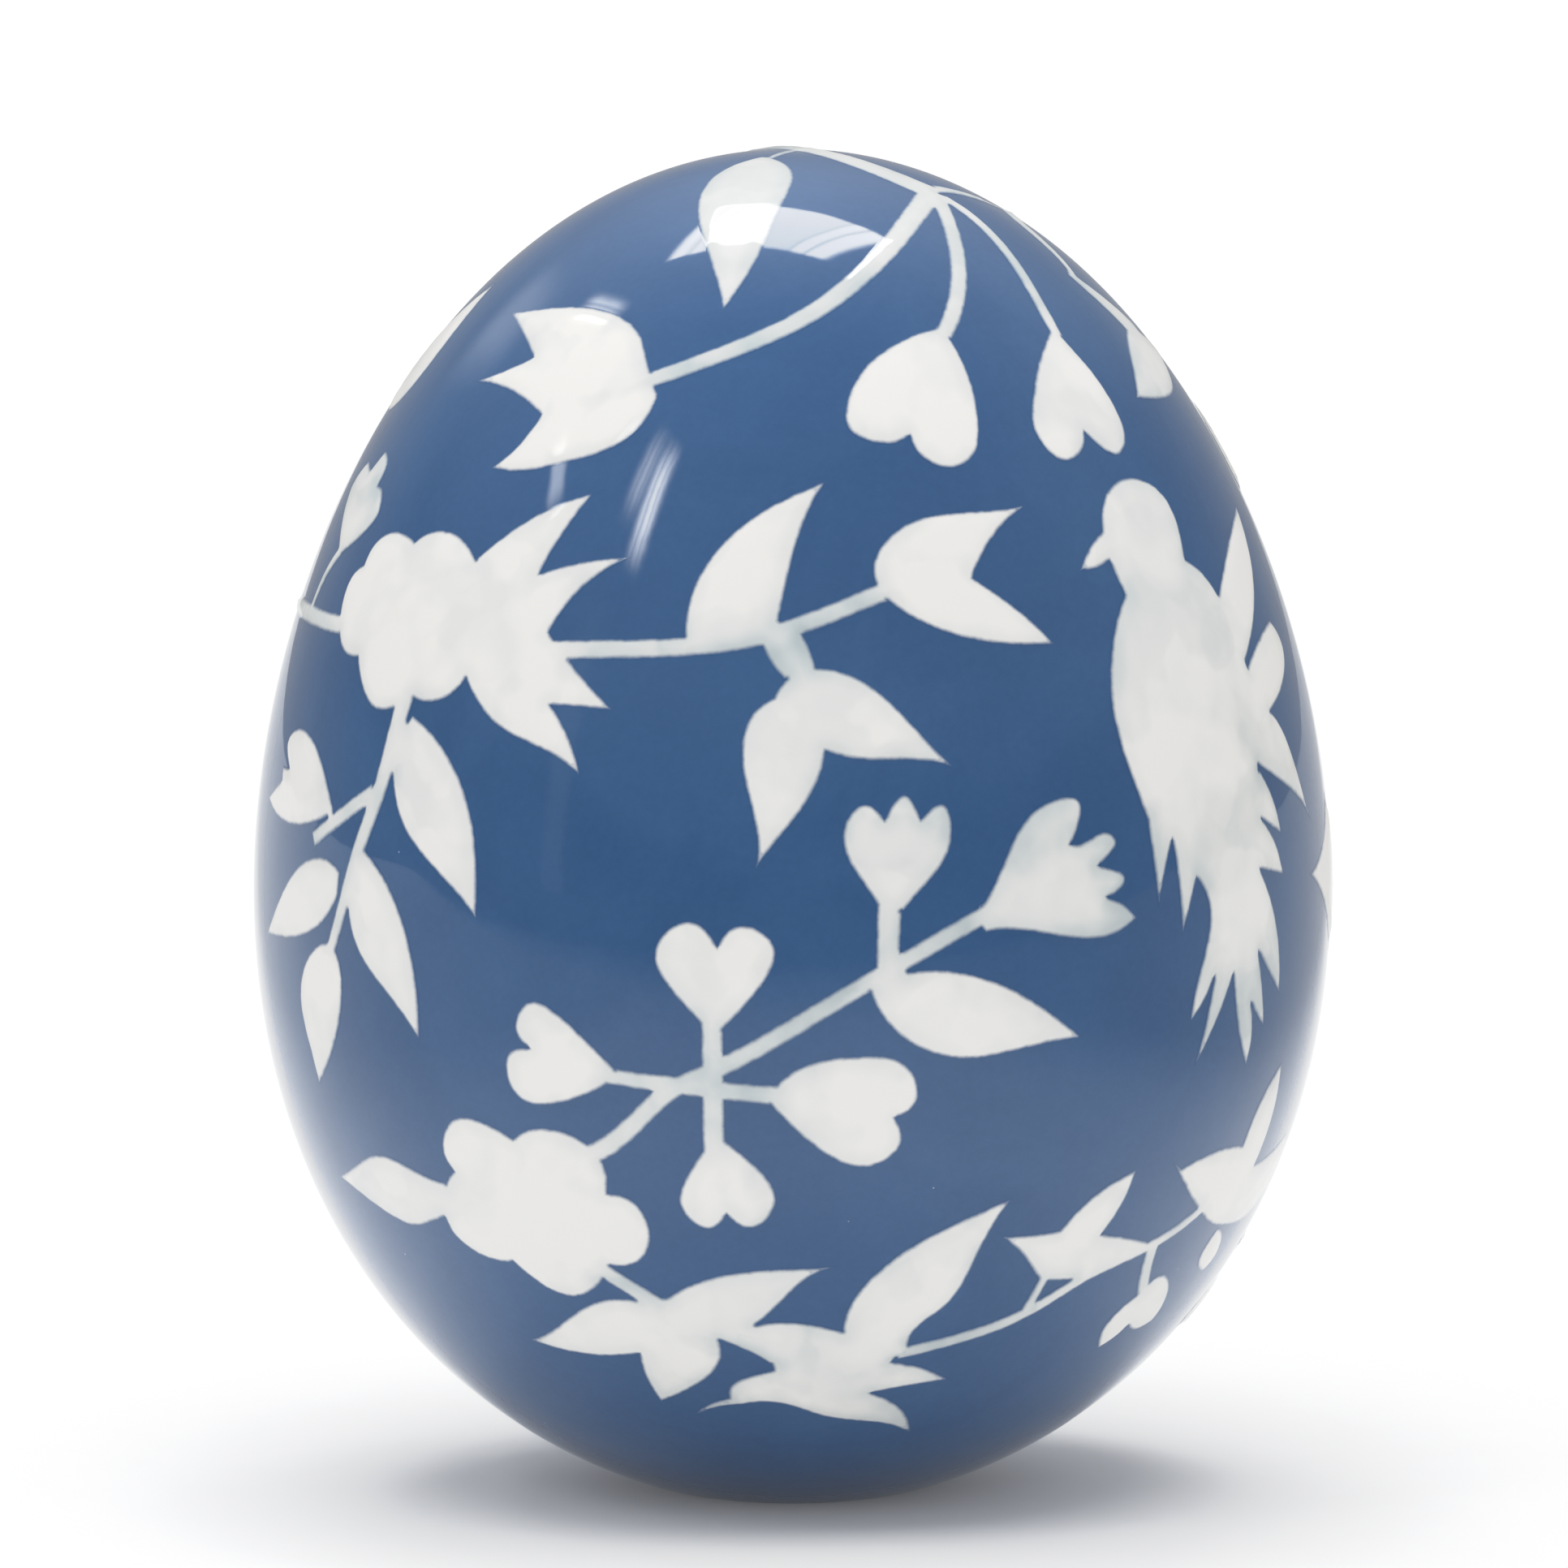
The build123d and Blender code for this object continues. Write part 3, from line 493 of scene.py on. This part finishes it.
class Shader(Nodes):
    """A material on the Principled shader, placed by the piece's own coordinates."""

    def __init__(self, name):
        self.material = bpy.data.materials.new(name)
        self.material.use_nodes = True
        super().__init__(self.material.node_tree)
        self.surface = self.tree.nodes["Principled BSDF"]
        self.place = self.add("ShaderNodeTexCoord").outputs["Object"]

    def noise(self, scale, detail=4.0, roughness=0.5, distortion=0.0):
        inputs = {"Vector": self.place, "Scale": scale, "Detail": detail}
        inputs |= {"Roughness": roughness, "Distortion": distortion}
        return self.add("ShaderNodeTexNoise", inputs).outputs["Fac"]

    def mix(self, factor, first, second):
        inputs = {"Factor": factor, "A": first, "B": second}
        node = self.add("ShaderNodeMix", data_type="RGBA")
        for name, value in inputs.items():
            socket = next(s for s in node.inputs if s.name == name and s.enabled)
            if isinstance(value, bpy.types.NodeSocket):
                self.tree.links.new(value, socket)
            else:
                socket.default_value = value
        return next(s for s in node.outputs if s.enabled)

    def first(self, colour):
        """The first channel of a colour."""
        return self.add("ShaderNodeSeparateColor", {"Color": colour}).outputs["Red"]

    def attribute(self, name):
        return self.add("ShaderNodeAttribute", attribute_name=name).outputs["Fac"]

    def bump(self, height, distance, normal=None):
        inputs = {"Height": height, "Strength": 1.0, "Distance": distance}
        if normal is not None:
            inputs["Normal"] = normal
        return self.add("ShaderNodeBump", inputs).outputs["Normal"]

    def finish(self, colour, normal, roughness=0.45):
        links = self.tree.links
        links.new(colour, self.surface.inputs["Base Color"])
        links.new(normal, self.surface.inputs["Normal"])
        self.surface.inputs["Roughness"].default_value = roughness
        return self.material

    def glaze(self, normal):
        """A clear high-gloss glaze over the surface."""
        self.surface.inputs["Specular IOR Level"].default_value = 0.1
        self.surface.inputs["Coat Weight"].default_value = 1.0
        self.surface.inputs["Coat Roughness"].default_value = 0.035
        self.surface.inputs["Coat IOR"].default_value = 1.5
        self.tree.links.new(normal, self.surface.inputs["Coat Normal"])


def glaze_ripple(shader):
    """The glaze's own surface: slow ripples and a fine orange peel."""
    slow = shader.bump(shader.noise(90, 2.0), 0.035 * MM)
    return shader.bump(shader.noise(900, 2.0), 0.0012 * MM, slow)


def specks(shader, scale, radius, rarity):
    """Small round spots in a few of the cells of this scale."""
    cells = shader.add("ShaderNodeTexVoronoi", {"Vector": shader.place, "Scale": scale})
    near = shader.spread(cells.outputs["Distance"], radius * 0.5, radius * 1.5, 1.0, 0.0)
    chosen = shader.first(cells.outputs["Color"])
    return shader.math("MULTIPLY", near, shader.spread(chosen, rarity, rarity + 0.01))


def blue_ground(shader):
    """Cobalt under the glaze, brushed on in coats that vary a little, with tiny pale specks."""
    cloud = shader.spread(shader.noise(45, 5.0, 0.6, 0.8), 0.3, 0.72, 0.0, 0.46)
    grain = shader.spread(shader.noise(1200, 3.0, 0.6), 0.25, 0.8, 0.0, 0.26)
    wash = shader.math("ADD", cloud, grain)
    colour = shader.mix(wash, COBALT, COBALT_WASH)
    pale = shader.math("MULTIPLY", specks(shader, 330, 0.035, 0.95), 0.45)
    return shader.mix(pale, colour, linear(170, 190, 215))


def blue_glaze():
    shader = Shader("blue_glaze")
    ripple = glaze_ripple(shader)
    shader.glaze(ripple)
    return shader.finish(blue_ground(shader), ripple)


def brush_laps(shader):
    """Patches a few millimetres wide that differ in tone, as brushfuls of slip that overlap."""
    bend = shader.add("ShaderNodeTexNoise", {"Vector": shader.place, "Scale": 160.0})
    inputs = {0: bend.outputs["Color"], 1: (0.006, 0.006, 0.006), 2: shader.place}
    bent = shader.add("ShaderNodeVectorMath", inputs, operation="MULTIPLY_ADD").outputs["Vector"]
    inputs = {"Vector": bent, "Scale": 150.0, "Smoothness": 0.25}
    cells = shader.add("ShaderNodeTexVoronoi", inputs, feature="SMOOTH_F1")
    return shader.first(cells.outputs["Color"])


def slip_glaze():
    """White slip, bluer where it lies thinner, with the blue ground showing at its rim."""
    shader = Shader("slip_glaze")
    ripple = glaze_ripple(shader)
    shader.glaze(ripple)
    inset = shader.attribute("inset")
    frayed = shader.spread(shader.noise(1100, 3.0), 0.2, 0.8, -0.07, 0.07, smooth=False)
    ragged = shader.math("ADD", inset, frayed)
    cover = shader.spread(ragged, 0.0, 0.6)
    pool = shader.spread(shader.noise(80, 2.0, 0.5, 0.5), 0.36, 0.64, 0.0, 0.34)
    middle = shader.spread(inset, 0.4, 2.6, 0.0, 0.22)
    strokes = shader.math("ADD", shader.noise(260, 2.0, 0.5, 0.5), brush_laps(shader))
    strokes = shader.spread(strokes, 0.45, 1.5, -0.13, 0.13, smooth=False)
    coat = shader.math("MULTIPLY_ADD", shader.attribute("load"), 0.58, middle)
    thickness = shader.math("ADD", shader.math("ADD", coat, pool), strokes, clamp=True)
    slip = shader.mix(thickness, THIN_SLIP, THICK_SLIP)
    slip = shader.mix(specks(shader, 48, 0.012, 0.95), slip, linear(70, 66, 64))
    return shader.finish(shader.mix(cover, blue_ground(shader), slip), ripple)


def bare_porcelain():
    """The unglazed foot and the inside: dry, off-white and slightly grainy."""
    shader = Shader("bare_porcelain")
    grain = shader.noise(2600, 4.0, 0.65)
    stain = shader.spread(shader.noise(160, 4.0), 0.35, 0.7)
    colour = shader.mix(stain, linear(226, 221, 210), linear(208, 200, 186))
    return shader.finish(colour, shader.bump(grain, 0.012 * MM), 0.75)


# The object

body, bare = body_mesh()
body.materials.append(blue_glaze())
add_object("porcelain_body", body, bare_porcelain(), "blue_porcelain", "egg_body")
body.polygons.foreach_set("material_index", bare)

motifs = [Motif(node) for node in sorted(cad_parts) if node != "egg_body"]
rim_points = [between(rim, FINE) for motif in motifs for rim, _ in motif.rims]
owners = [motif for motif in motifs for rim, _ in motif.rims for _ in range(FINE * len(rim))]
others = tree_of(np.vstack(rim_points))
for motif in motifs:
    motif.find_joins(others, owners)
free_tree = tree_of(np.vstack([motif.free_rim() for motif in motifs]))
slip = slip_glaze()
for motif in motifs:
    add_object("slip_" + motif.node, slip_mesh(motif, free_tree), slip, "white_slip", motif.node)

# The studio: a pale floor, soft light from all round, and bright panels that the glaze mirrors

ZENITH = Vector((0, 0, 1))
ROOM_FRONT = (0.54, 0.76)  # brightness low and high in front of the egg
ROOM_BACK = (0.42, 0.95)  # and behind it

# Brightness across a panel, as for folded cloth: pairs of a place from 0 to 1 and a level
FOLDS = [
    (0.0, 0.6), (0.04, 1.0), (0.13, 1.0), (0.155, 0.5), (0.18, 0.95), (0.23, 0.95), (0.25, 0.55),
    (0.28, 0.72), (0.55, 0.68), (0.78, 0.74), (0.84, 1.0), (0.88, 0.6), (0.92, 1.0), (1.0, 0.9),
]
GATHERS = [
    (0.0, 0.4), (0.28, 0.9), (0.36, 0.45), (0.5, 1.0), (0.62, 1.0), (0.68, 0.5), (0.76, 0.95),
    (1.0, 0.4),
]

# Azimuth and elevation, the two sides as half lengths and angles, brightness, edge softness, folds
PANELS = [
    (-174.6, 67.4, ((0.25, -26.8), (0.15, 47)), 12.0, 0.1, FOLDS),
    (-45, 45.6, ((0.04, -10), (0.13, -90)), 15.0, 0.7, GATHERS),
    (-51.2, 48.7, ((0.036, -6), (0.10, -88)), 6.0, 0.8, GATHERS),
    (-117.5, 52.5, ((0.05, -36.9), (0.1, 47.6)), 8.0, 0.6, GATHERS),
    (-79.3, 41.4, ((0.085, -35.9), (0.03, 61.8)), 6.0, 0.6, None),
    (-138.7, 31.5, ((0.16, 36.8), (0.1, -54.5)), 0.8, 0.8, None),
    (-52, 14, ((0.05, 0), (0.3, 90)), 0.25, 0.5, None),
]

OVERHEAD = 2.05  # strength of the light from above
OVERHEAD_ELEVATION = 78
OVERHEAD_WIDTH = 50  # in degrees

PAPER = ((0.79, 0.79, 0.79, 1), (0.81, 0.81, 0.81, 1))
# Painted shade on the far paper: it turns grey in front of the egg and to its sides, so the glaze
# mirrors a darker floor there.
PAPER_SHADED = (0.25, 0.25, 0.25, 1)
# The paper glows a little though it is no lamp: painted light that lifts the contact shadow.
PAPER_PAINTED_GLOW = 0.08
FLOOR_REACH = 9
FRONT_SHADE = (-0.55, -0.1)  # where painted shade darkens the paper in front of the egg
SIDE_SHADE = (0.09, 0.24)  # and to its sides, in a wedge that opens towards the back
SIDE_OPENING = 0.08
SIDE_SHADE_STRENGTHS = ((-1.0, 0.48), (1.0, 0.78))  # left and right, and how far the painted shade darkens each

AIM = Vector((-0.9 * MM, 0, HEIGHT / 2 + 4 * MM))
CAMERA_DISTANCE = 1.2
CAMERA_ELEVATION = 6
SENSOR = 36
LENS = 246.3

# The camera's response: bright tones are held back, as on a photograph of white ware.
WHITE_LEVEL = 2
RESPONSE = [(0.15, 0.3), (0.28, 0.56), (0.36, 0.7), (0.46, 0.79), (0.6, 0.9), (0.72, 1.0)]


def from_front(azimuth, elevation):
    """A direction, counted in degrees to the right of the front and up from level."""
    side, rise = np.radians(azimuth), np.radians(elevation)
    return Vector((np.sin(side) * np.cos(rise), -np.cos(side) * np.cos(rise), np.sin(rise)))


class Sky(Nodes):
    """The light that comes from each direction, as a sum of smooth parts."""

    def __init__(self):
        world = bpy.data.worlds.new("studio")
        bpy.context.scene.world = world
        world.use_nodes = True
        super().__init__(world.node_tree)
        self.toward = self.add("ShaderNodeTexCoord").outputs["Generated"]
        self.parts = []

    def along(self, axis):
        inputs = {0: self.toward, 1: axis}
        return self.add("ShaderNodeVectorMath", inputs, operation="DOT_PRODUCT").outputs["Value"]

    def room(self):
        """Darker behind the egg than in front, and brighter overhead than at eye level."""
        front = self.spread(self.along((0, -1, 0)), -0.55, 0.3)
        high = self.along(ZENITH)
        ahead = self.spread(high, 0.1, 0.45, *ROOM_FRONT)
        behind = self.spread(high, 0.35, 0.85, *ROOM_BACK)
        self.parts.append(self.math("MULTIPLY", ahead, front))
        self.parts.append(self.math("MULTIPLY", behind, self.math("SUBTRACT", 1.0, front)))

    def panel(self, azimuth, elevation, sides, radiance, soft, folds):
        """A soft-edged slanted panel. Each side is its half length and its angle in degrees."""
        toward = from_front(azimuth, elevation)
        right = ZENITH.cross(toward).normalized()
        up = toward.cross(right)
        reach = [
            (right * np.cos(np.radians(angle)) + up * np.sin(np.radians(angle))) * half
            for half, angle in sides
        ]
        axes = Matrix((*reach, toward)).transposed().inverted()
        places = [self.along(axis) for axis in axes]
        shape = self.math("GREATER_THAN", places[2], 0.0)
        for place in places[:2]:
            edge = self.spread(self.math("ABSOLUTE", place), 1 - soft, 1 + soft / 2, 1.0, 0.0)
            shape = self.math("MULTIPLY", shape, edge)
        if folds:
            across = self.spread(places[0], -1, 1, smooth=False)
            ramp = self.add("ShaderNodeValToRGB", {"Fac": across})
            stops = ramp.color_ramp.elements
            for spot, level in folds[1:-1]:
                stops.new(spot).color = (level, level, level, 1)
            for stop, (spot, level) in zip((stops[0], stops[-1]), (folds[0], folds[-1])):
                stop.position = spot
                stop.color = (level, level, level, 1)
            shape = self.math("MULTIPLY", shape, ramp.outputs["Color"])
        self.parts.append(self.math("MULTIPLY", shape, radiance))

    def finish(self):
        total = self.parts[0]
        for part in self.parts[1:]:
            total = self.math("ADD", total, part)
        self.tree.links.new(total, self.tree.nodes["Background"].inputs["Strength"])
        self.tree.nodes["Background"].inputs["Color"].default_value = (1, 1, 1, 1)


sky = Sky()
sky.room()
for panel in PANELS:
    sky.panel(*panel)
sky.finish()

# A broad overhead light brings out the colours from above without a reflection of its own.
overhead = bpy.data.objects.new("overhead", bpy.data.lights.new("overhead", "SUN"))
overhead.data.energy = OVERHEAD
overhead.data.angle = np.radians(OVERHEAD_WIDTH)
overhead.rotation_euler = from_front(0, OVERHEAD_ELEVATION).to_track_quat("Z", "Y").to_euler()
overhead.visible_glossy = False
bpy.context.scene.collection.objects.link(overhead)


def paper():
    """Pale paper, darkened with painted shade in front and to the sides, and with a faint painted
    glow.
    """
    shader = Shader("paper")
    tooth = shader.noise(120, 3.0)
    tone = shader.mix(tooth, *PAPER)
    spot = shader.add("ShaderNodeSeparateXYZ", {"Vector": shader.place}).outputs
    painted_shade = shader.spread(spot["Y"], *FRONT_SHADE, 1.0, 0.0)
    for side, strength in SIDE_SHADE_STRENGTHS:
        aside = shader.math("MULTIPLY", spot["X"], side)
        aside = shader.math("MULTIPLY_ADD", spot["Y"], -SIDE_OPENING, aside)
        painted_shade = shader.math("MAXIMUM", painted_shade, shader.spread(aside, *SIDE_SHADE, 0.0, strength))
    # Painted shade: the paper turns grey in front and to the sides, so the glaze mirrors a darker
    # floor.
    tone = shader.mix(painted_shade, tone, PAPER_SHADED)
    shader.surface.inputs["Specular IOR Level"].default_value = 0.1
    # Painted light: a faint glow from the paper lifts the contact shadow under the egg.
    shader.surface.inputs["Emission Color"].default_value = (1, 1, 1, 1)
    shader.surface.inputs["Emission Strength"].default_value = PAPER_PAINTED_GLOW
    return shader.finish(tone, shader.bump(tooth, 0.01 * MM), 0.9)


ground = bpy.data.meshes.new("floor")
corners = [(x * FLOOR_REACH, y * FLOOR_REACH, 0) for x, y in ((-1, -1), (1, -1), (1, 1), (-1, 1))]
ground.from_pydata(corners, [], [(0, 1, 2, 3)])
floor = bpy.data.objects.new("floor", ground)
floor.data.materials.append(paper())
bpy.context.scene.collection.objects.link(floor)

camera = bpy.data.objects.new("camera", bpy.data.cameras.new("camera"))
camera.data.sensor_width = SENSOR
camera.data.lens = LENS
camera.location = AIM + from_front(0, CAMERA_ELEVATION) * CAMERA_DISTANCE
camera.rotation_euler = (AIM - camera.location).to_track_quat("-Z", "Y").to_euler()
bpy.context.scene.collection.objects.link(camera)
bpy.context.scene.camera = camera

response = bpy.context.scene.view_settings
response.view_transform = "Standard"
response.use_curve_mapping = True
response.curve_mapping.white_level = (WHITE_LEVEL,) * 3
combined = response.curve_mapping.curves[3]
for light, tone in RESPONSE:
    combined.points.new(light, tone)
response.curve_mapping.update()
